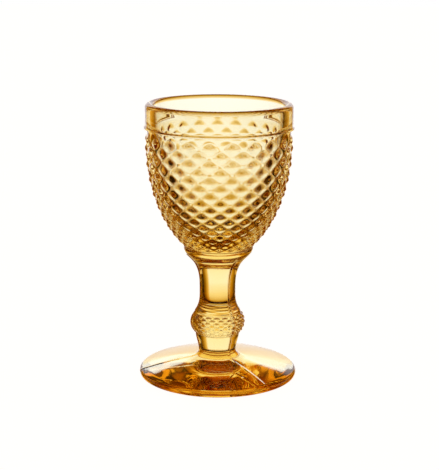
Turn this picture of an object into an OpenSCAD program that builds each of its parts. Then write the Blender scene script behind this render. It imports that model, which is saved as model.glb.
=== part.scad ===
// A pressed cordial glass: a diamond-point bowl on a knopped stem and a round foot.
// Lengths are in millimetres, and angles in degrees. +Z is up.
// The origin is the middle of the ring that the glass rests on.
// The parts are stacked: each one starts where the one below it ends, on a flat fused joint.

/* [Foot] */
// Radius of the foot
foot_r = 31.1; // [29:0.1:34]
// Height of the foot, from the table to its joint with the lower stem
foot_h = 9.6; // [8.6:0.1:12]
// Height of the widest line of the foot's rounded edge
edge_h = 1.1; // [0.8:0.1:1.4]
// Height at which the rounded edge runs into the foot's top
edge_top_h = 2.4; // [2.2:0.1:3]
// How far the rounded edge reaches in from the widest line, on top
edge_top_in = 1.3; // [1:0.1:2]
// How far the resting ring lies inside the widest line
rest_in = 0.9; // [0.6:0.1:1.4]
// Width of the flat resting ring
rest_w = 3.4; // [2.4:0.1:4.4]
// Height of the shallow hollow under the foot, at its middle
hollow_h = 0.8; // [0.4:0.1:2.4]
// Radius at which the foot's top starts to turn up into the stem
turn_up_r = 11.2; // [10:0.1:13]
// Height of the foot's top at that radius
turn_up_h = 6.6; // [6:0.1:7.2]
// Rise of the foot's top above a straight slope, at its middle
crown_h = 0.3; // [0:0.1:0.6]

/* [Lower stem] */
// Height of the lower stem
lower_stem_h = 6.6; // [5:0.1:9]
// Radius of the joint between the foot and the lower stem
foot_joint_r = 7.1; // [6.4:0.1:7.8]
// Radius of the joint between the lower stem and the knop
knop_seat_r = 8.4; // [7.9:0.1:8.8]

/* [Knop] */
// Height of the knop
knop_h = 10; // [9.6:0.1:12]
// Largest radius of the knop, over its points
knop_r = 10.75; // [10.5:0.05:11.5]
// Radius of the knop's rounding, seen from the side
knop_round_r = 6.1; // [5.8:0.1:7]
// Height of the band of points on the knop
knop_band_h = 8.2; // [7:0.1:8.4]
// Height of one of the knop's points above its valleys
knop_point_h = 0.4; // [0.3:0.05:0.5]
// Number of points around the knop, a third of them from each part of the mould
knop_point_count = 18; // [15:3:24]
// Number of half rows of points on the knop
knop_rows = 8; // [4:1:9]
// Turn of the knop's points about the axis
knop_turn_angle = 7; // [0:1:18]
// Radius of the joint between the knop and the upper stem
knop_top_r = 8.6; // [7.9:0.1:8.8]

/* [Upper stem] */
// Height of the upper stem
upper_stem_h = 18.4; // [15:0.1:24]
// Smallest radius of the stem
waist_r = 6.85; // [6:0.05:7.5]
// Height of the narrowest line above the knop
waist_h = 7.8; // [6:0.1:9]
// Radius of the joint between the upper stem and the collar
collar_joint_r = 8.7; // [8:0.1:9.2]

/* [Collar] */
// Height of the flared collar
collar_h = 4; // [3:0.1:6]
// Radius of the joint between the collar and the bowl
bowl_joint_r = 12.2; // [11:0.1:12.6]

/* [Bowl] */
// Height of the plain ring at the foot of the bowl
ring_h = 3.2; // [2.6:0.1:4.2]
// Radius of that ring
ring_r = 13.6; // [13.4:0.1:14.2]
// Height of the field of diamond points
field_h = 45.4; // [38:0.2:54]
// Radius over the points at the bottom of the field
field_base_r = 13.15; // [12.4:0.05:13.3]
// Largest radius over the points
bowl_r = 28.6; // [26:0.1:31]
// How far the widest line of the bowl lies below the top of the field
widest_drop = 4.2; // [2:0.1:8]
// Height of one point above the valleys beside it, where the bowl is widest
point_h = 1.1; // [0.6:0.05:1.3]
// Number of points around the bowl, a third of them from each part of the mould
bowl_point_count = 21; // [18:3:30]
// Turn of the bowl's points about the axis
bowl_turn_angle = 1.5; // [0:0.5:12]
// Number of half rows of points on the bowl
bowl_rows = 19; // [15:2:25]
// Thickness of glass between the floor of the bowl and the collar
floor_h = 5.9; // [5:0.1:8]

/* [Rim] */
// Height of the plain strip between the field and the ledge
strip_h = 1.1; // [0.8:0.1:2]
// How far the plain strip lies inside the rim band
strip_in = 0.7; // [0.5:0.1:0.9]
// Height of the rim band, from the ledge to the top of the lip
band_h = 9.7; // [8:0.1:12]
// How far the widest line of the bowl stands outside the rim band
band_in = 0.1; // [0:0.05:0.3]
// How far the ledge stands out from the rim band
ledge_out = 0.45; // [0.3:0.05:0.6]
// Height of the rounded ledge
ledge_h = 1.1; // [0.8:0.1:1.6]
// Thickness of the glass at the rim
rim_wall = 3.5; // [3:0.1:4]
// Width of the narrow land on the crest of the lip
lip_land = 0.2; // [0.1:0.05:0.4]

/* [Hidden] */
$fn = 96;
amber = "#D9A441";
deep_amber = "#C47A1E";
curve_steps = 8;
oval_steps = 20;
measure_steps = 120;
// How far a cut runs past the surface that it opens
overrun = 1;
// How far the plain glass above and below a field of points laps over its first and last row
lap = 0.25;

// Heights of the joints and of the main lines
stem_z = foot_h;
knop_z = stem_z + lower_stem_h;
upper_stem_z = knop_z + knop_h;
collar_z = upper_stem_z + upper_stem_h;
bowl_z = collar_z + collar_h;
field_z = bowl_z + ring_h;
strip_z = field_z + field_h;
band_z = strip_z + strip_h;
lip_z = band_z + band_h;

// Radii that follow from others
rest_r = foot_r - rest_in;
hollow_r = rest_r - rest_w;
band_r = bowl_r - band_in;
strip_r = band_r - strip_in;
bore_r = band_r - rim_wall;

// The knop's rounding, and the radius at which its band of points ends
knop_mid_z = knop_z + knop_h / 2;
knop_mid_r = knop_r - knop_round_r;
knop_half_turn = asin(knop_band_h / 2 / knop_round_r);
knop_edge_r = knop_mid_r + knop_round_r * cos(knop_half_turn) - knop_point_h / 2;

// The oval that the bowl's points follow: its middle, its half height and where it starts
widest_z = strip_z - widest_drop;
oval_h = (widest_z - field_z) / sqrt(1 - pow(field_base_r / bowl_r, 2));
top_turn = -asin(widest_drop / oval_h);
base_turn = acos(field_base_r / bowl_r);

// How far a side line leans outwards at each joint, as a share of its rise
waist_lean_share = 0;
knop_seat_lean_share = 0.1;
knop_edge_lean_share = 1;
knop_top_lean_share = -0.45;
collar_lean_share = 0.55;
bowl_lean_share = 1;

// A point on a curve with four handles, a share t of the way along
function bend(a, b, c, d, t) =
    pow(1 - t, 3) * a + 3 * t * pow(1 - t, 2) * b + 3 * t * t * (1 - t) * c + pow(t, 3) * d;

// The side of a turned part from one [radius, height] up to another, with its lean at both ends
function side_line(from, to, from_lean, to_lean) =
    let (reach = (to.y - from.y) / 3)
    let (leaving = from + reach * [from_lean, 1])
    let (arriving = to - reach * [to_lean, 1])
    [for (i = [0:curve_steps]) bend(from, leaving, arriving, to, i / curve_steps)];

// A plain curve from a to c, drawn towards b
function drawn(a, b, c) =
    [for (i = [0:curve_steps]) let (t = i / curve_steps)
        pow(1 - t, 2) * a + 2 * t * (1 - t) * b + t * t * c];

// An arc about a middle, from one angle to another
function arc(middle, r, from, to) =
    [for (i = [0:curve_steps]) let (turn = from + (to - from) * i / curve_steps)
        middle + r * [cos(turn), sin(turn)]];

// A turned solid with this side line, closed by flat ends
module turned(side) {
    first = side[0];
    last = side[len(side) - 1];
    rotate_extrude() polygon(concat([[0, first.y]], side, [[0, last.y]]));
}

// Pressed diamond points between two turned surfaces: tips reach the outer one, and valleys
// follow the inner one. Rows run from the top down, and alternate rows are staggered.
module diamond_field(tips, valleys, count, first_turn) {
    last = len(tips) - 1;
    sides = 2 * count;
    side_turn = 360 / sides;
    top = last * sides + sides;
    corners = [
        for (row = [0:last])
        for (i = [0:sides - 1])
        let (raised = row > 0 && row < last && (row + i) % 2 == 0)
        let (side = raised ? tips[row] : valleys[row])
        let (turn = first_turn + i * side_turn)
        [side.x * cos(turn), side.x * sin(turn), side.y]
    ];
    ends = [[0, 0, valleys[0].y], [0, 0, valleys[last].y]];
    walls = [
        for (row = [0:last - 1])
        for (i = [0:sides - 1])
        let (next = (i + 1) % sides)
        let (a = row * sides + i)
        let (b = row * sides + next)
        let (c = a + sides)
        let (d = b + sides)
        each (row + i) % 2 == 0 ? [[a, b, c], [b, d, c]] : [[a, b, d], [a, d, c]]
    ];
    caps = [
        for (i = [0:sides - 1])
        let (next = (i + 1) % sides)
        let (base = last * sides)
        each [[top, next, i], [top + 1, base + i, base + next]]
    ];
    polyhedron(points = concat(corners, ends), faces = concat(walls, caps), convexity = 4);
}

module foot() {
    slope_start = [foot_r - edge_top_in, edge_top_h];
    slope_end = [turn_up_r, turn_up_h];
    slope_mid = (slope_start + slope_end) / 2 + [0, 2 * crown_h];
    start_rise = (slope_mid.y - slope_start.y) / (slope_start.x - slope_mid.x);
    end_rise = (slope_end.y - slope_mid.y) / (slope_mid.x - slope_end.x);
    edge_corner = [foot_r, edge_top_h - edge_top_in * start_rise];
    neck_corner = [foot_joint_r, turn_up_h + (turn_up_r - foot_joint_r) * end_rise];
    hollow = drawn([0, hollow_h], [hollow_r / 2, hollow_h], [hollow_r, 0]);
    under_edge = drawn([rest_r, 0], [foot_r, 0], [foot_r, edge_h]);
    over_edge = drawn([foot_r, edge_h], edge_corner, slope_start);
    slope = drawn(slope_start, slope_mid, slope_end);
    neck = drawn(slope_end, neck_corner, [foot_joint_r, stem_z]);
    color(deep_amber)
    rotate_extrude() polygon(concat(hollow, under_edge, over_edge, slope, neck, [[0, stem_z]]));
}

module lower_stem() {
    color(amber)
    turned(side_line([foot_joint_r, stem_z], [knop_seat_r, knop_z], waist_lean_share,
        knop_seat_lean_share));
}

module knop() {
    band_half_h = knop_band_h / 2;
    band_low_z = knop_mid_z - band_half_h;
    band_high_z = knop_mid_z + band_half_h;
    shoulder = side_line([knop_seat_r, knop_z], [knop_edge_r, band_low_z],
        knop_seat_lean_share, knop_edge_lean_share);
    crown = side_line([knop_edge_r, band_high_z], [knop_top_r, upper_stem_z],
        -knop_edge_lean_share, knop_top_lean_share);
    turns = [for (row = [0:knop_rows]) knop_half_turn * (1 - 2 * row / knop_rows)];
    middle = [knop_mid_r, knop_mid_z];
    tips = [for (turn = turns) middle + knop_round_r * [cos(turn), sin(turn)]];
    valleys = [
        for (row = [0:knop_rows])
        tips[row] - [knop_point_h / cos(turns[row]), 0]
    ];
    color(amber)
    union() {
        turned(concat(shoulder, [[knop_edge_r - lap, band_low_z + lap]]));
        turned(concat([[knop_edge_r - lap, band_high_z - lap]], crown));
        diamond_field(tips, valleys, knop_point_count, knop_turn_angle - 90);
    }
}

module upper_stem() {
    waist = [waist_r, upper_stem_z + waist_h];
    lower = side_line([knop_top_r, upper_stem_z], waist, knop_top_lean_share, waist_lean_share);
    upper = side_line(waist, [collar_joint_r, collar_z], waist_lean_share, collar_lean_share);
    color(amber)
    turned(concat(lower, upper));
}

module collar() {
    color(amber)
    turned(side_line([collar_joint_r, collar_z], [bowl_joint_r, bowl_z], collar_lean_share,
        bowl_lean_share));
}

// Length of one small step along the bowl's oval, counted in radii of the bowl there
function stride(turn, step) =
    let (speed = norm([bowl_r * sin(turn), oval_h * cos(turn)]))
    step * PI / 180 * speed / (bowl_r * cos(turn));

// The rows keep their proportions: each one's height is the same share of the radius there
module bowl_field() {
    step = (base_turn - top_turn) / measure_steps;
    way = [
        for (i = 0, gone = 0; i <= measure_steps;
            gone = gone + stride(top_turn + (i + 1 / 2) * step, step), i = i + 1)
        [gone, top_turn + i * step]
    ];
    whole = way[measure_steps][0];
    turns = [for (row = [0:bowl_rows]) lookup(whole * row / bowl_rows, way)];
    tips = [for (turn = turns) [bowl_r * cos(turn), widest_z - oval_h * sin(turn)]];
    valleys = [
        for (row = [0:bowl_rows])
        let (outwards = [cos(turns[row]) / bowl_r, sin(turns[row]) / oval_h])
        let (depth = point_h * cos(turns[row]) * norm(outwards) / outwards.x)
        tips[row] - [depth, 0]
    ];
    diamond_field(tips, valleys, bowl_point_count, bowl_turn_angle - 90);
}

// The plain ring under the field, solid through the middle
module bowl_ring() {
    widest = [ring_r, field_z - lap];
    side = side_line([bowl_joint_r, bowl_z], widest, bowl_lean_share, 0);
    turned(concat(side, drawn(widest, [ring_r, field_z + lap], [field_base_r, field_z + lap])));
}

// The strip, the ledge and the rim band, with the lip's outer rounding
module rim() {
    lip_round_r = (rim_wall - lip_land) / 2;
    lip_middle = [band_r - lip_round_r, lip_z - lip_round_r];
    ledge_mid_z = band_z + ledge_h / 2;
    ledge_r = band_r + ledge_out;
    under_ledge = drawn([strip_r, band_z], [ledge_r, band_z], [ledge_r, ledge_mid_z]);
    over_ledge = drawn([ledge_r, ledge_mid_z], [ledge_r, band_z + ledge_h],
        [band_r, band_z + ledge_h]);
    turned(concat([[strip_r, strip_z - lap]], under_ledge, over_ledge,
        arc(lip_middle, lip_round_r, 0, 90)));
}

// The inside of the bowl, which opens out over the lip's inner rounding
module cavity() {
    lip_round_r = (rim_wall - lip_land) / 2;
    lip_middle = [bore_r + lip_round_r, lip_z - lip_round_r];
    depth = widest_z - bowl_z - floor_h;
    last_turn = 105;
    lip = arc(lip_middle, lip_round_r, 180, last_turn);
    tangent = [sin(last_turn), -cos(last_turn)];
    brim = lip[curve_steps] + tangent * overrun / tangent.y;
    oval = [
        for (i = [0:oval_steps]) let (turn = 90 * i / oval_steps)
        [bore_r * sin(turn), widest_z - depth * cos(turn)]
    ];
    rotate_extrude() polygon(concat(oval, lip, [brim, [0, brim.y]]));
}

module bowl() {
    color(amber)
    difference() {
        union() {
            bowl_ring();
            bowl_field();
            rim();
        }
        cavity();
    }
}

foot();
lower_stem();
knop();
upper_stem();
collar();
bowl();
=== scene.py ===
import math

import bmesh
import bpy
import numpy as np
from mathutils import Matrix, Vector, noise


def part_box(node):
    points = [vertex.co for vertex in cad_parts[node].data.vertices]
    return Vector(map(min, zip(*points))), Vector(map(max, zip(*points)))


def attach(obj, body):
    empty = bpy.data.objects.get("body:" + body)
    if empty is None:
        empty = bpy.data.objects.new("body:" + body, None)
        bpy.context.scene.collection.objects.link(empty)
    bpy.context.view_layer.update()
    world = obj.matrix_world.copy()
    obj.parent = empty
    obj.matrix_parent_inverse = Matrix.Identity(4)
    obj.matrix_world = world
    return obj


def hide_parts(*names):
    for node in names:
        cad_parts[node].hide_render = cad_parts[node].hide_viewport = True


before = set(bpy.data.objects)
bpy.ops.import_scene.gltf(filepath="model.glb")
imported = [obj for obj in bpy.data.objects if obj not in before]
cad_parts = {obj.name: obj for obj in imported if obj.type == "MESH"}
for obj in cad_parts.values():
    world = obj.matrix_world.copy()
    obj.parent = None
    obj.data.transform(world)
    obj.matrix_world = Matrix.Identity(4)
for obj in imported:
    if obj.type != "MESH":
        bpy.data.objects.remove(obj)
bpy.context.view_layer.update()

# A pressed cordial glass in clear amber. Its six parts are hot glass fused to each other, so
# each part's joint faces meet the next one's, and light passes the joint without bending.
# Lengths in this script are in millimetres unless a name says otherwise.
MM = 0.001

# The camera, fitted to the rim and the foot in the photograph. The photograph's height and the
# camera's focal length are counted in the photograph's pixels.
PHOTO_HEIGHT = 470
FOCAL_PX = 1254.8
CAMERA_PLACE = (0.4, -478.2, 167.9)
CAMERA_PITCH = math.radians(13.17)
CAMERA_ROLL = math.radians(0.35)
SENSOR = 36.0
CAMERA_NEAR_M = 0.01


def span(node):
    """The lowest and highest line of a CAD node, in millimetres."""
    low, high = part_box(node)
    return low.z / MM, high.z / MM


def reach(node):
    """The largest radius of a CAD node, in millimetres."""
    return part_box(node)[1].x / MM


# Heights of the fused joints and of the lip, from the frame
STEM_Z, KNOP_Z = span("lower_stem")
UPPER_STEM_Z, COLLAR_Z = span("upper_stem")
BOWL_Z, LIP_Z = span("bowl")

# Foot: its edge, the flat ring that it rests on, the shallow hollow inside the ring, and the
# slope that rises to the stem
FOOT_R = reach("foot")
EDGE_H = 1.1
EDGE_TOP_H = 2.4
EDGE_TOP_IN = 1.3
REST_IN = 0.9
REST_W = 3.4
HOLLOW_H = 1.3
TURN_UP_R = 11.2
TURN_UP_H = 6.6
CROWN_H = 0.3
FOOT_JOINT_R = 7.1

# Stem and knop. On its left side the knop is worn nearly smooth, at half the height of a point.
KNOP_SEAT_R = 8.4
KNOP_R = 10.75
KNOP_ROUND_R = 6.1
KNOP_BAND_H = 8.2
KNOP_POINT_H = 0.4
KNOP_POINTS = 18
KNOP_ROWS = 8
KNOP_TURN = math.radians(7)
KNOP_WORN_ANGLE = math.radians(190)
KNOP_WORN_W = math.radians(24)
KNOP_WORN_TO = 0.5
KNOP_TOP_R = 8.6
WAIST_R = 6.85
WAIST_H = 7.8
COLLAR_JOINT_R = 8.7
BOWL_JOINT_R = 12.2

# Bowl: the plain ring at its foot, the field of diamond points, which get shallower below
# SHALLOW_ROW, the plain strip, the ledge, the rim band and the lip
RING_H = 3.2
RING_R = 13.6
RING_ROUND = 0.35
RING_CORNER_DROP = 0.05
RING_INNER_DROP = 0.03
FIELD_H = 45.4
FIELD_BASE_R = 13.15
BOWL_R = 28.6
WIDEST_DROP = 4.2
POINT_H = 1.0
POINTS = 21
BOWL_TURN = math.radians(1.5)
ROWS = 19
SHALLOW_ROW = 14
SHALLOW_SHARE = 0.6
FLOOR_H = 5.9
STRIP_H = 1.1
STRIP_START = 0.2
BAND_IN = 0.1
LEDGE_OUT = 0.45
LEDGE_ROUND = 0.3
LEDGE_SIDE_H = 0.2
LEDGE_FALL = 1.0
RIM_WALL = 3.5
# The plunger that pressed the bore is a little narrower lower down, so that it came out
BORE_DRAFT = 0.75
# The oval that closes the bore is widest this far above the bowl's own widest place
BORE_LIFT = 3.6

FIELD_Z = BOWL_Z + RING_H
STRIP_Z = FIELD_Z + FIELD_H
WIDEST_Z = STRIP_Z - WIDEST_DROP
BAND_Z = STRIP_Z + STRIP_H
# The half height of the oval that the bowl's points follow
OVAL_H = (WIDEST_Z - FIELD_Z) / math.sqrt(1 - (FIELD_BASE_R / BOWL_R) ** 2)
BAND_R = BOWL_R - BAND_IN
BORE_R = BAND_R - RIM_WALL

# How far a side line leans outwards at each joint, as a share of its rise
SEAT_LEAN = 0.1
EDGE_LEAN = 1.0
KNOP_TOP_LEAN = -0.7
COLLAR_LEAN = 0.55
BOWL_LEAN = 1.0

# The mould has three parts, and leaves a thin seam where they meet. The seam fades as it runs
# out over the foot, from SEAM_FADE_R on.
MOULD_PARTS = 3
SEAM_TURN = math.radians(-52)
SEAM_ANGLES = [SEAM_TURN + part * math.tau / MOULD_PARTS for part in range(MOULD_PARTS)]
SEAM_H = 0.5
SEAM_W = 0.48
FOOT_SEAM_H = 0.1
SEAM_FADE_R = 12.0
SEAM_FADE_W = 3.0
# How strongly the mesh's columns are gathered at the seams
SEAM_GATHER = 0.75

# Pressed glass is never quite even: slow waves run over the stem, and longer ones and streaks
# over the foot, where the hot glass was chilled as it spread
STEM_WAVE_H = 0.07
STEM_WAVE = 7.0
STEM_WAVE_STRETCH = 0.7
FOOT_WAVE_H = 0.1
FOOT_WAVE = 11.0
FOOT_WAVE_PLACE = Vector((5.5, 0.6, 9.2))
STREAK_H = 0.12
STREAKS = 17
STREAK_LENGTH = 60.0
# The stem's waves fade from the first of these radii to the second, while the foot's grow from
# the first to the third
STEM_WAVE_R = 9.5
STEM_WAVE_END_R = 12.5
FOOT_WAVE_R = 15.5
# The foot's waves end the first of these distances inside its edge, and fade over the second
FOOT_WAVE_IN = 0.6
FOOT_WAVE_FADE = 3.0

# Fire-polishing rounds the points and the valleys between them, from 0, sharp, to 1, a wave.
# The rim was nearest to the fire, so the rows under it are the roundest and the lowest.
POINT_SOFT = 0.5
POLISHED_ROWS = 7
POLISHED_SHARE = 0.22
POINT_POWER = 3.0

# Each joint face stops this far short of the joint, so that two parts never cross
JOINT_GAP = 0.004

# The light that the amber takes, for each metre of glass: red, green and blue
AMBER_TAKES = (1, 13, 65)
# The amber that the glass lends to the light it lets through to the table
CAST_AMBER = "#F3DDA6"
# The faint ripple that fire-polishing leaves
RIPPLE = 6.0
RIPPLE_H = 0.1

# The four faces of glass that light comes through take about a sixth of it, so the studio is lit
# by nearly as much over white, which leaves clear glass as white as the table
STUDIO_LIGHT = 1.15
# The surroundings that the glass shows, in place of the white ones that the camera sees, by
# angle from straight behind the glass, in degrees, to the right: a white window behind, brown
# and nearly black at its sides, and a weaker, warm window in front. They are no plain studio.
# Their colours were written after fits to the photograph, and part of the glass's deep amber
# comes from them: in white surroundings the glass is much paler.
STUDIO = (
    (-180, "#987848"),
    (-160, "#987848"),
    (-148, "#6C4C20"),
    (-120, "#34240C"),
    (-106, "#4C3408"),
    (-88, "#543C0C"),
    (-76, "#1C1000"),
    (-66, "#1C1000"),
    (-59, "#4C3000"),
    (-48, "#8C5C00"),
    (-38, "#C4880C"),
    (-31, "#ECBC50"),
    (-27, "#FFFFFF"),
    (22, "#FFFFFF"),
    (27, "#E8BC58"),
    (36, "#A06C04"),
    (48, "#241400"),
    (60, "#241400"),
    (76, "#705008"),
    (92, "#705008"),
    (104, "#3C280C"),
    (124, "#34240C"),
    (148, "#6C4C20"),
    (160, "#987848"),
    (180, "#987848"),
)
# Its shade by height, in degrees above the level of the glass
STUDIO_HEIGHTS = (
    (-90, "#180600"),
    (-66, "#240C00"),
    (-56, "#603000"),
    (-48, "#A0700C"),
    (-40, "#BC8C20"),
    (-33, "#D8B058"),
    (-25, "#E8C884"),
    (-18, "#F8E4B0"),
    (-12, "#FFFFFF"),
    (25, "#FFFFFF"),
    (30, "#D08C28"),
    (38, "#B06000"),
    (60, "#8C4400"),
    (90, "#6C3400"),
)
# Two lamps at the sides, a little above the level of the glass, by angle and by height
SIDE_LAMPS = (
    (-180, "#000000"),
    (-92, "#000000"),
    (-84, "#E8C070"),
    (-56, "#E8C070"),
    (-48, "#000000"),
    (46, "#000000"),
    (52, "#F4D490"),
    (92, "#F4D490"),
    (98, "#000000"),
    (180, "#000000"),
)
SIDE_LAMP_HEIGHTS = (
    (-90, "#000000"),
    (3, "#000000"),
    (7, "#FFFFFF"),
    (25, "#FFFFFF"),
    (29, "#000000"),
    (90, "#000000"),
)

# The table is a wide round top, a hair below the foot
TABLE_R = 3000.0
TABLE_DROP = 0.05
TABLE_SIDES = 96
TABLE_GLOW = 0.96
TABLE_PAINT = 0.5

# Light meets many faces on its way through the points, so it is followed through this many of
# them, and off this many
GLASS_PASSES = 40
GLASS_GLINTS = 24

# How finely the meshes are divided: each half row and half column of the bowl's points, and
# each half row of the knop's, has FIELD_SHARE steps
FIELD_SHARE = 8
STEM_COLUMNS = 288
KNOP_COLUMNS = 352
BOWL_COLUMNS = 2 * POINTS * FIELD_SHARE
BORE_STEPS = 48
WAY_STEPS = 400
# A body is spun over a part of the turn, and then doubled this many times
DOUBLINGS = 4

# Distances within which two points, or a point and a line, count as the same
MERGE_NEAR = 0.0005
AXIS_NEAR = 0.0001
SIDE_NEAR = 0.0001
LINE_NEAR = 0.001
JOINT_NEAR = 0.02
ROUND_NEAR = 0.02
OVAL_NEAR = 0.2
# A face whose normal stands up this much is level
LEVEL_NORMAL = 0.999
# Nothing is raised inside CORE_R, and outside FLAT_R a seam rises square to the foot's slope
CORE_R = 4.0
FLAT_R = 15.0

# The places of a Mix node's colours in its lists of inputs and outputs
FIRST_COLOUR = 6
SECOND_COLOUR = 7
MIXED_COLOUR = 2


def part_way(value, start, finish):
    """How far a value has come on its way from start to finish, from 0 to 1."""
    return min(1.0, max(0.0, (value - start) / (finish - start)))


def bend(start, finish, start_lean, finish_lean, steps):
    """The side of a turned part between two [radius, height] points, with its lean at both ends."""
    start = np.array(start)
    finish = np.array(finish)
    rise = (finish[1] - start[1]) / 3
    leaving = start + rise * np.array([start_lean, 1])
    arriving = finish - rise * np.array([finish_lean, 1])
    side = []
    for t in np.linspace(0, 1, steps + 1):
        u = 1 - t
        side.append(u ** 3 * start + 3 * t * u * u * leaving + 3 * t * t * u * arriving + t ** 3 * finish)
    return side


def drawn(start, towards, finish, steps):
    """A plain curve between two points, drawn towards a third."""
    start = np.array(start)
    towards = np.array(towards)
    finish = np.array(finish)
    return [(1 - t) ** 2 * start + 2 * t * (1 - t) * towards + t * t * finish
            for t in np.linspace(0, 1, steps + 1)]


def arc(middle, r, start, finish, steps):
    """Points round a middle, from one angle to another, in degrees."""
    return [np.array(middle) + r * np.array([math.cos(a), math.sin(a)])
            for a in np.radians(np.linspace(start, finish, steps + 1))]


def flat(start, finish, steps):
    """Points along a straight line."""
    return [np.array(start) * (1 - t) + np.array(finish) * t for t in np.linspace(0, 1, steps + 1)]


def joined(lines):
    """Joins lines into one side, leaving out points that repeat."""
    side = []
    for point in (p for line in lines for p in line):
        if not side or np.hypot(*(point - side[-1])) > SIDE_NEAR:
            side.append(np.array(point, float))
    return side


def turned(side, columns):
    """A closed turned body from its side line, which starts and ends on the axis. Only a part of the
    turn is spun, and then doubled, which is much faster than one spin."""
    bm = bmesh.new()
    corners = [bm.verts.new((r * MM, 0, z * MM)) for r, z in side]
    edges = [bm.edges.new(pair) for pair in zip(corners, corners[1:])]
    spun_parts = 2 ** DOUBLINGS
    share = math.tau / spun_parts
    bmesh.ops.spin(bm, geom=corners + edges, cent=(0, 0, 0), axis=(0, 0, 1), dvec=(0, 0, 0),
                   angle=share, steps=columns // spun_parts, use_merge=False,
                   use_normal_flip=False, use_duplicate=False)
    for doubling in range(DOUBLINGS):
        copied = bmesh.ops.duplicate(bm, geom=bm.verts[:] + bm.edges[:] + bm.faces[:])["geom"]
        bmesh.ops.rotate(bm, verts=[v for v in copied if isinstance(v, bmesh.types.BMVert)],
                         cent=(0, 0, 0), matrix=Matrix.Rotation(share * 2 ** doubling, 3, "Z"))
    bmesh.ops.remove_doubles(bm, verts=bm.verts[:], dist=MERGE_NEAR * MM)
    bmesh.ops.recalc_face_normals(bm, faces=bm.faces[:])
    return bm


def seat(v):
    """A mesh point's radius and height, in millimetres, and its turn about the axis."""
    return math.hypot(v.co.x, v.co.y) / MM, v.co.z / MM, math.atan2(v.co.y, v.co.x)


def gather_columns(bm):
    """Moves the columns closer together at the mould seams, so that a thin seam has room."""
    for v in bm.verts:
        r, z, turn = seat(v)
        if r < AXIS_NEAR:
            continue
        turn -= SEAM_GATHER / MOULD_PARTS * math.sin(MOULD_PARTS * (turn - SEAM_TURN))
        v.co.x = r * math.cos(turn) * MM
        v.co.y = r * math.sin(turn) * MM


def seam_rise(turn, r):
    """Height of the mould seam at this angle and radius."""
    away = min(abs(math.remainder(turn - a, math.tau)) for a in SEAM_ANGLES) * r
    out = max(0.0, r - SEAM_FADE_R)
    height = FOOT_SEAM_H + (SEAM_H - FOOT_SEAM_H) * math.exp(-out / SEAM_FADE_W)
    return height * math.exp(-(away / SEAM_W) ** 2)


def soft_diamond(column, row, rows, soft=POINT_SOFT):
    """Height of a field of staggered points, from 0 in the valleys to 1 at a tip. Points lie where
    column and row add up to an even number, and the first and last row have none."""
    a = (column + row) / 2
    b = (column - row) / 2
    if not 0 < round(a) - round(b) < rows:
        return 0.0
    one_way = abs(2 * (a - round(a))) ** POINT_POWER
    other_way = abs(2 * (b - round(b))) ** POINT_POWER
    away = min(1.0, (one_way + other_way) ** (1 / POINT_POWER))
    return (1 - soft) * (1 - away) + soft * (1 + math.cos(math.pi * away)) / 2


def field_way():
    """The way down the oval that the bowl's points follow, as shares, and the turn of the oval at
    each. It is counted in radii of the bowl there, so that the points keep their proportions."""
    turns = np.linspace(-math.asin(WIDEST_DROP / OVAL_H), math.acos(FIELD_BASE_R / BOWL_R), WAY_STEPS)
    middle = (turns[1:] + turns[:-1]) / 2
    stride = np.hypot(BOWL_R * np.sin(middle), OVAL_H * np.cos(middle)) / (BOWL_R * np.cos(middle))
    way = np.concatenate([[0], np.cumsum(stride)])
    return way / way[-1], turns


WAY, WAY_TURNS = field_way()


def foot_side():
    """The foot: hollow, resting ring, rounded edge, crowned slope and neck."""
    rest_r = FOOT_R - REST_IN
    hollow_r = rest_r - REST_W
    slope_start = np.array([FOOT_R - EDGE_TOP_IN, EDGE_TOP_H])
    slope_end = np.array([TURN_UP_R, TURN_UP_H])
    slope_mid = (slope_start + slope_end) / 2 + [0, 2 * CROWN_H]
    start_rise = (slope_mid[1] - slope_start[1]) / (slope_start[0] - slope_mid[0])
    end_rise = (slope_end[1] - slope_mid[1]) / (slope_mid[0] - slope_end[0])
    edge_corner = [FOOT_R, EDGE_TOP_H - EDGE_TOP_IN * start_rise]
    neck_corner = [FOOT_JOINT_R, TURN_UP_H + (TURN_UP_R - FOOT_JOINT_R) * end_rise]
    top = STEM_Z - JOINT_GAP
    return joined([
        drawn([0, HOLLOW_H], [hollow_r / 2, HOLLOW_H], [hollow_r, 0], steps=40),
        flat([hollow_r, 0], [rest_r, 0], steps=4),
        drawn([rest_r, 0], [FOOT_R, 0], [FOOT_R, EDGE_H], steps=10),
        drawn([FOOT_R, EDGE_H], edge_corner, slope_start, steps=12),
        drawn(slope_start, slope_mid, slope_end, steps=40),
        drawn(slope_end, neck_corner, [FOOT_JOINT_R, top], steps=20),
        flat([FOOT_JOINT_R, top], [0, top], steps=3),
    ])


def lower_stem_side():
    """The short stem under the knop."""
    low, high = STEM_Z + JOINT_GAP, KNOP_Z - JOINT_GAP
    return joined([
        flat([0, low], [FOOT_JOINT_R, low], steps=3),
        bend([FOOT_JOINT_R, low], [KNOP_SEAT_R, high], 0, SEAT_LEAN, steps=24),
        flat([KNOP_SEAT_R, high], [0, high], steps=3),
    ])


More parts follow.
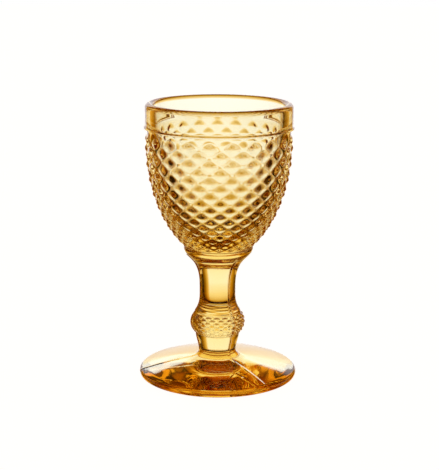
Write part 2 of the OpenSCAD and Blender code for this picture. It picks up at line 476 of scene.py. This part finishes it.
def knop_side():
    """The knop, before its points are pressed."""
    low, high = KNOP_Z + JOINT_GAP, UPPER_STEM_Z - JOINT_GAP
    middle_z = (KNOP_Z + UPPER_STEM_Z) / 2
    half_turn = math.degrees(math.asin(KNOP_BAND_H / 2 / KNOP_ROUND_R))
    middle_r = KNOP_R - KNOP_ROUND_R
    edge_r = middle_r + KNOP_ROUND_R * math.cos(math.radians(half_turn)) - KNOP_POINT_H / 2
    band_low, band_high = middle_z - KNOP_BAND_H / 2, middle_z + KNOP_BAND_H / 2
    return joined([
        flat([0, low], [KNOP_SEAT_R, low], steps=3),
        bend([KNOP_SEAT_R, low], [edge_r, band_low], SEAT_LEAN, EDGE_LEAN, steps=8),
        arc([middle_r, middle_z], KNOP_ROUND_R, -half_turn, half_turn, steps=KNOP_ROWS * FIELD_SHARE),
        bend([edge_r, band_high], [KNOP_TOP_R, high], -EDGE_LEAN, KNOP_TOP_LEAN, steps=8),
        flat([KNOP_TOP_R, high], [0, high], steps=3),
    ])


def upper_stem_side():
    """The waisted stem over the knop."""
    low, high = UPPER_STEM_Z + JOINT_GAP, COLLAR_Z - JOINT_GAP
    waist = [WAIST_R, UPPER_STEM_Z + WAIST_H]
    return joined([
        flat([0, low], [KNOP_TOP_R, low], steps=3),
        bend([KNOP_TOP_R, low], waist, KNOP_TOP_LEAN, 0, steps=30),
        bend(waist, [COLLAR_JOINT_R, high], 0, COLLAR_LEAN, steps=36),
        flat([COLLAR_JOINT_R, high], [0, high], steps=3),
    ])


def collar_side():
    """The flare from the stem out to the bowl."""
    low, high = COLLAR_Z + JOINT_GAP, BOWL_Z - JOINT_GAP
    return joined([
        flat([0, low], [COLLAR_JOINT_R, low], steps=3),
        bend([COLLAR_JOINT_R, low], [BOWL_JOINT_R, high], COLLAR_LEAN, BOWL_LEAN, steps=20),
        flat([BOWL_JOINT_R, high], [0, high], steps=3),
    ])


def oval_point(row):
    """A point on the oval that the bowl's points follow, at this row from the top."""
    turn = np.interp(row / ROWS, WAY, WAY_TURNS)
    return np.array([BOWL_R * math.cos(turn), WIDEST_Z - OVAL_H * math.sin(turn)])


def bore_line():
    """The lower part of the bore: an oval from its drafted wall down to the floor."""
    mid_r = BORE_R - BORE_DRAFT
    top_z = WIDEST_Z + BORE_LIFT
    depth = top_z - BOWL_Z - FLOOR_H
    start = math.asin(BORE_LIFT / depth)
    return [np.array([mid_r * math.cos(a) / math.cos(start), top_z - depth * math.sin(a)])
            for a in np.linspace(start, math.pi / 2, BORE_STEPS + 1)]


def bowl_side():
    """The bowl, before its points are pressed, up its outside, over the lip and down its bore. The
    strip is as wide as the valleys of the polished points under it."""
    low = BOWL_Z + JOINT_GAP
    ring = [RING_R, FIELD_Z - RING_ROUND]
    ring_corner = [RING_R, FIELD_Z - RING_CORNER_DROP]
    ring_inner = [FIELD_BASE_R, FIELD_Z - RING_INNER_DROP]
    strip_r = oval_point(0)[0] * (1 - (1 - POLISHED_SHARE) * POINT_H / BOWL_R)
    strip_top = BAND_Z - LEDGE_ROUND
    ledge_r = BAND_R + LEDGE_OUT
    ledge_side_z = BAND_Z + LEDGE_SIDE_H
    ledge_top_z = BAND_Z + LEDGE_FALL
    lip_r = RIM_WALL / 2
    lip_z = LIP_Z - lip_r
    bore = bore_line()
    return joined([
        flat([0, low], [BOWL_JOINT_R, low], steps=3),
        bend([BOWL_JOINT_R, low], ring, BOWL_LEAN, 0, steps=14),
        drawn(ring, ring_corner, ring_inner, steps=5),
        [oval_point(ROWS - step / FIELD_SHARE) for step in range(ROWS * FIELD_SHARE + 1)],
        flat([strip_r, STRIP_Z + STRIP_START], [strip_r, strip_top], steps=3),
        drawn([strip_r, strip_top], [strip_r, BAND_Z], [strip_r + LEDGE_ROUND, BAND_Z], steps=3),
        drawn([ledge_r - LEDGE_ROUND, BAND_Z], [ledge_r, BAND_Z], [ledge_r, ledge_side_z], steps=5),
        bend([ledge_r, ledge_side_z], [BAND_R, ledge_top_z], 0, 0, steps=8),
        flat([BAND_R, ledge_top_z], [BAND_R, lip_z], steps=7),
        arc([BAND_R - lip_r, lip_z], lip_r, 0, 180, steps=20),
        flat([BORE_R, lip_z], [BORE_R - BORE_DRAFT, WIDEST_Z], steps=10),
        bore,
    ])


def press_bowl(bm):
    """Presses the diamond points into the bowl's side, square to its oval, and turns the bowl to its
    place in the mould."""
    moves = []
    for v in bm.verts:
        r, z, angle = seat(v)
        if not FIELD_Z - LINE_NEAR <= z <= STRIP_Z + LINE_NEAR:
            continue
        turn = math.asin(max(-1, min(1, (WIDEST_Z - z) / OVAL_H)))
        if r < BOWL_R * math.cos(turn) - OVAL_NEAR:
            continue
        row = ROWS * np.interp(turn, WAY_TURNS, WAY)
        column = angle / math.tau * 2 * POINTS
        polished = part_way(row, POLISHED_ROWS, 0)
        soft = POINT_SOFT + (1 - POINT_SOFT) * polished
        depth = POINT_H * r / BOWL_R
        depth *= 1 - SHALLOW_SHARE * part_way(row, SHALLOW_ROW, ROWS)
        depth *= 1 - POLISHED_SHARE * polished
        out = Vector((v.co.x, v.co.y, 0)).normalized() * math.cos(turn) / BOWL_R
        out.z = -math.sin(turn) / OVAL_H
        moves.append((v, out.normalized() * (soft_diamond(column, row, ROWS, soft) - 1) * depth * MM))
    for v, move in moves:
        v.co += move
    bmesh.ops.rotate(bm, verts=bm.verts[:], cent=(0, 0, 0),
                     matrix=Matrix.Rotation(BOWL_TURN - math.pi / 2, 3, "Z"))


def press_knop(bm):
    """Presses the small points into the knop, and wears them down on its worn side."""
    bm.normal_update()
    middle_z = (KNOP_Z + UPPER_STEM_Z) / 2
    middle_r = KNOP_R - KNOP_ROUND_R
    half_turn = math.asin(KNOP_BAND_H / 2 / KNOP_ROUND_R)
    moves = []
    for v in bm.verts:
        r, z, angle = seat(v)
        off_round = abs(math.hypot(r - middle_r, z - middle_z) - KNOP_ROUND_R)
        if off_round > ROUND_NEAR or r < middle_r:
            continue
        lift = math.asin(max(-1, min(1, (z - middle_z) / KNOP_ROUND_R)))
        row = (1 - lift / half_turn) / 2 * KNOP_ROWS
        column = (angle - KNOP_TURN + math.pi / 2) / math.tau * 2 * KNOP_POINTS
        height = soft_diamond(column, row, KNOP_ROWS)
        away = abs(math.remainder(angle - KNOP_WORN_ANGLE, math.tau))
        height += part_way(away, 2 * KNOP_WORN_W, KNOP_WORN_W) * (KNOP_WORN_TO - height)
        moves.append((v, v.normal * (height - 1) * KNOP_POINT_H * MM))
    for v, move in moves:
        v.co += move


def wave_rise(place, r, turn):
    """Height of the uneven surface at a place on the stem or the foot, in millimetres."""
    foot_end = FOOT_R - FOOT_WAVE_IN
    on_foot = part_way(r, STEM_WAVE_R, FOOT_WAVE_R) * part_way(r, foot_end, foot_end - FOOT_WAVE_FADE)
    on_stem = part_way(r, STEM_WAVE_END_R, STEM_WAVE_R)
    upright = Vector((place.x, place.y, place.z * STEM_WAVE_STRETCH))
    slow = noise.noise(upright / (STEM_WAVE * MM))
    wide = noise.noise(place / (FOOT_WAVE * MM) + FOOT_WAVE_PLACE)
    ray = Vector((math.cos(turn), math.sin(turn), r / STREAK_LENGTH))
    streak = noise.noise(ray * STREAKS / math.tau)
    return STEM_WAVE_H * on_stem * slow + on_foot * (FOOT_WAVE_H * wide + STREAK_H * streak)


def raise_seams(bm, joints):
    """Raises the mould seams and the waves on the outside of a part. On a joint they only go
    sideways, so that its face stays level."""
    bm.normal_update()
    moves = []
    for v in bm.verts:
        r, z, turn = seat(v)
        if r < CORE_R or z < EDGE_H:
            continue
        out = v.normal if r > FLAT_R else Vector((v.co.x, v.co.y, 0)).normalized()
        move = (out * seam_rise(turn, r) + v.normal * wave_rise(v.co, r, turn)) * MM
        if any(abs(z - joint) < JOINT_NEAR for joint in joints):
            move.z = 0
        moves.append((v, move))
    for v, move in moves:
        v.co += move


def make_piece(node, bm, joints, material):
    """Turns a bmesh into the piece that stands for a CAD node, with its joint faces marked."""
    mesh = bpy.data.meshes.new(node + "_glass")
    for face in bm.faces:
        level = sum(v.co.z for v in face.verts) / len(face.verts) / MM
        on_joint = any(abs(level - joint) < JOINT_NEAR for joint in joints)
        face.smooth = True
        face.select = on_joint and abs(face.normal.z) > LEVEL_NORMAL
    for edge in bm.edges:
        edge.smooth = len({f.select for f in edge.link_faces}) == 1
    joint_faces = [float(f.select) for f in bm.faces]
    bm.to_mesh(mesh)
    bm.free()
    fused = mesh.attributes.new("fused_joint", "FLOAT", "FACE")
    fused.data.foreach_set("value", joint_faces)
    piece = bpy.data.objects.new(node + "_glass", mesh)
    bpy.context.scene.collection.objects.link(piece)
    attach(piece, "root")
    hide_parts(node)
    mesh.materials.append(material)


def linear(hex_colour):
    """An sRGB hex colour as linear numbers, with an alpha of 1."""
    parts = [int(hex_colour[i:i + 2], 16) / 255 for i in (1, 3, 5)]
    return tuple(c / 12.92 if c <= 0.04045 else ((c + 0.055) / 1.055) ** 2.4 for c in parts) + (1.0,)


def add(tree, kind, settings=None, links=None):
    """Adds a node, gives it its settings and links its inputs to other nodes' outputs. A number in
    place of an input's name is its place in the node's list."""
    node = tree.nodes.new(kind)
    for name, value in (settings or {}).items():
        if isinstance(name, int) or name in node.inputs:
            node.inputs[name].default_value = value
        else:
            setattr(node, name, value)
    for name, output in (links or {}).items():
        tree.links.new(output, node.inputs[name])
    return node


def pressed_amber_glass():
    """Clear amber soda-lime glass, pressed in an iron mould and fire-polished. The colour is in the
    glass, so it deepens with the way that light has to go through it. The ripple of the polish
    bends its glints a little."""
    material = bpy.data.materials.new("pressed_amber_glass")
    material.use_nodes = True
    tree = material.node_tree
    tree.nodes.clear()
    place = add(tree, "ShaderNodeTexCoord")
    ripple = add(tree, "ShaderNodeTexNoise",
                 {"Scale": 1 / (RIPPLE * MM), "Detail": 2.0, "Roughness": 0.5},
                 {"Vector": place.outputs["Object"]})
    bump = add(tree, "ShaderNodeBump",
               {"Strength": 0.15, "Distance": RIPPLE_H * MM},
               {"Height": ripple.outputs["Fac"]})
    glass = add(tree, "ShaderNodeBsdfPrincipled",
                {"Base Color": (1, 1, 1, 1), "Roughness": 0.01, "IOR": 1.52, "Transmission Weight": 1.0},
                {"Normal": bump.outputs["Normal"]})
    # The light that falls through the glass on the table goes straight, and takes its amber along
    path = add(tree, "ShaderNodeLightPath")
    passing = add(tree, "ShaderNodeMath", {"operation": "MAXIMUM"},
                  {0: path.outputs["Is Shadow Ray"], 1: path.outputs["Is Diffuse Ray"]})
    cast = add(tree, "ShaderNodeBsdfTransparent", {"Color": linear(CAST_AMBER)})
    lit = add(tree, "ShaderNodeMixShader", None,
              {0: passing.outputs[0], 1: glass.outputs[0], 2: cast.outputs[0]})
    # Two fused parts are one body of glass, so their joint faces are clear
    fused = add(tree, "ShaderNodeAttribute", {"attribute_name": "fused_joint"})
    joint = add(tree, "ShaderNodeBsdfTransparent", {"Color": (1, 1, 1, 1)})
    whole = add(tree, "ShaderNodeMixShader", None,
                {0: fused.outputs["Fac"], 1: lit.outputs[0], 2: joint.outputs[0]})
    densest = max(AMBER_TAKES)
    left = tuple(1 - taken / densest for taken in AMBER_TAKES) + (1.0,)
    amber = add(tree, "ShaderNodeVolumeAbsorption", {"Color": left, "Density": float(densest)})
    add(tree, "ShaderNodeOutputMaterial", None,
        {"Surface": whole.outputs[0], "Volume": amber.outputs[0]})
    return material


def shade_ramp(tree, value, stops):
    """A ramp of colours along an angle, from a list of angles in degrees and colours."""
    first, last = stops[0][0], stops[-1][0]
    share = add(tree, "ShaderNodeMapRange",
                {"From Min": math.radians(first), "From Max": math.radians(last)},
                {"Value": value})
    ramp = add(tree, "ShaderNodeValToRGB", None, {"Fac": share.outputs[0]})
    elements = ramp.color_ramp.elements
    elements[0].color = linear(stops[0][1])
    elements[1].color = linear(stops[-1][1])
    for angle, colour in stops[1:-1]:
        elements.new((angle - first) / (last - first)).color = linear(colour)
    return ramp.outputs["Color"]


def matt_white_table():
    """A table top painted matt white, as the camera sees it. Part of its light is its own, so that it
    reads as plain white and still takes a faint shadow. The glass sees the studio in its place."""
    material = bpy.data.materials.new("matt_white_table")
    material.use_nodes = True
    tree = material.node_tree
    tree.nodes.clear()
    matt = add(tree, "ShaderNodeBsdfDiffuse", {"Color": (TABLE_PAINT, TABLE_PAINT, TABLE_PAINT, 1)})
    glow = add(tree, "ShaderNodeEmission", {"Color": (1, 1, 1, 1), "Strength": TABLE_GLOW})
    both = add(tree, "ShaderNodeAddShader", None, {0: matt.outputs[0], 1: glow.outputs[0]})
    path = add(tree, "ShaderNodeLightPath")
    clear = add(tree, "ShaderNodeBsdfTransparent")
    seen = add(tree, "ShaderNodeMixShader", None,
               {0: path.outputs["Is Camera Ray"], 1: clear.outputs[0], 2: both.outputs[0]})
    add(tree, "ShaderNodeOutputMaterial", None, {"Surface": seen.outputs[0]})
    return material


def studio():
    """The surroundings that light the glass and show in it. Only the camera sees plain white."""
    world = bpy.data.worlds.new("studio")
    bpy.context.scene.world = world
    world.use_nodes = True
    tree = world.node_tree
    tree.nodes.clear()
    way = add(tree, "ShaderNodeTexCoord")
    parts = add(tree, "ShaderNodeSeparateXYZ", None, {"Vector": way.outputs["Generated"]})
    turn = add(tree, "ShaderNodeMath", {"operation": "ARCTAN2"},
               {0: parts.outputs["X"], 1: parts.outputs["Y"]})
    height = add(tree, "ShaderNodeMath", {"operation": "ARCSINE"}, {0: parts.outputs["Z"]})
    lights = []
    for stops, height_stops in ((STUDIO, STUDIO_HEIGHTS), (SIDE_LAMPS, SIDE_LAMP_HEIGHTS)):
        light = add(tree, "ShaderNodeMix",
                    {"data_type": "RGBA", "blend_type": "MULTIPLY", "Factor": 1.0},
                    {FIRST_COLOUR: shade_ramp(tree, turn.outputs[0], stops),
                     SECOND_COLOUR: shade_ramp(tree, height.outputs[0], height_stops)})
        lights.append(light.outputs[MIXED_COLOUR])
    room = add(tree, "ShaderNodeMix",
               {"data_type": "RGBA", "blend_type": "ADD", "Factor": 1.0},
               {FIRST_COLOUR: lights[0], SECOND_COLOUR: lights[1]})
    path = add(tree, "ShaderNodeLightPath")
    plain = 1 / STUDIO_LIGHT
    seen = add(tree, "ShaderNodeMix",
               {"data_type": "RGBA", SECOND_COLOUR: (plain, plain, plain, 1)},
               {"Factor": path.outputs["Is Camera Ray"], FIRST_COLOUR: room.outputs[MIXED_COLOUR]})
    sky = add(tree, "ShaderNodeBackground", {"Strength": STUDIO_LIGHT},
              {"Color": seen.outputs[MIXED_COLOUR]})
    add(tree, "ShaderNodeOutputWorld", None, {"Surface": sky.outputs[0]})


def table():
    """The table that the glass stands on."""
    bm = bmesh.new()
    bmesh.ops.create_circle(bm, cap_ends=True, segments=TABLE_SIDES, radius=TABLE_R * MM)
    bmesh.ops.translate(bm, verts=bm.verts[:], vec=(0, 0, -TABLE_DROP * MM))
    mesh = bpy.data.meshes.new("table")
    bm.to_mesh(mesh)
    bm.free()
    top = bpy.data.objects.new("table", mesh)
    bpy.context.scene.collection.objects.link(top)
    mesh.materials.append(matt_white_table())


def camera():
    """The camera at the place that was fitted to the photograph."""
    data = bpy.data.cameras.new("camera")
    data.sensor_fit = "VERTICAL"
    data.sensor_height = SENSOR
    data.lens = FOCAL_PX * SENSOR / PHOTO_HEIGHT
    data.clip_start = CAMERA_NEAR_M
    view = bpy.data.objects.new("camera", data)
    bpy.context.scene.collection.objects.link(view)
    view.matrix_world = (Matrix.Translation(Vector(CAMERA_PLACE) * MM)
                         @ Matrix.Rotation(math.pi / 2 - CAMERA_PITCH, 4, "X")
                         @ Matrix.Rotation(CAMERA_ROLL, 4, "Z"))
    bpy.context.scene.camera = view


scene = bpy.context.scene
scene.view_settings.view_transform = "Standard"
scene.cycles.max_bounces = GLASS_PASSES
scene.cycles.transmission_bounces = GLASS_PASSES
scene.cycles.transparent_max_bounces = GLASS_PASSES
scene.cycles.glossy_bounces = GLASS_GLINTS

camera()
table()
studio()

# The parts of the glass from the table up, each with its side line, the number of its columns
# and the heights of its joints
PARTS = (
    ("foot", foot_side(), STEM_COLUMNS, [STEM_Z]),
    ("lower_stem", lower_stem_side(), STEM_COLUMNS, [STEM_Z, KNOP_Z]),
    ("knop", knop_side(), KNOP_COLUMNS, [KNOP_Z, UPPER_STEM_Z]),
    ("upper_stem", upper_stem_side(), STEM_COLUMNS, [UPPER_STEM_Z, COLLAR_Z]),
    ("collar", collar_side(), STEM_COLUMNS, [COLLAR_Z, BOWL_Z]),
    ("bowl", bowl_side(), BOWL_COLUMNS, [BOWL_Z]),
)
glass = pressed_amber_glass()
for node, side, columns, joints in PARTS:
    body = turned(side, columns)
    if node == "bowl":
        press_bowl(body)
    else:
        gather_columns(body)
        if node == "knop":
            press_knop(body)
        raise_seams(body, joints)
    make_piece(node, body, joints, glass)
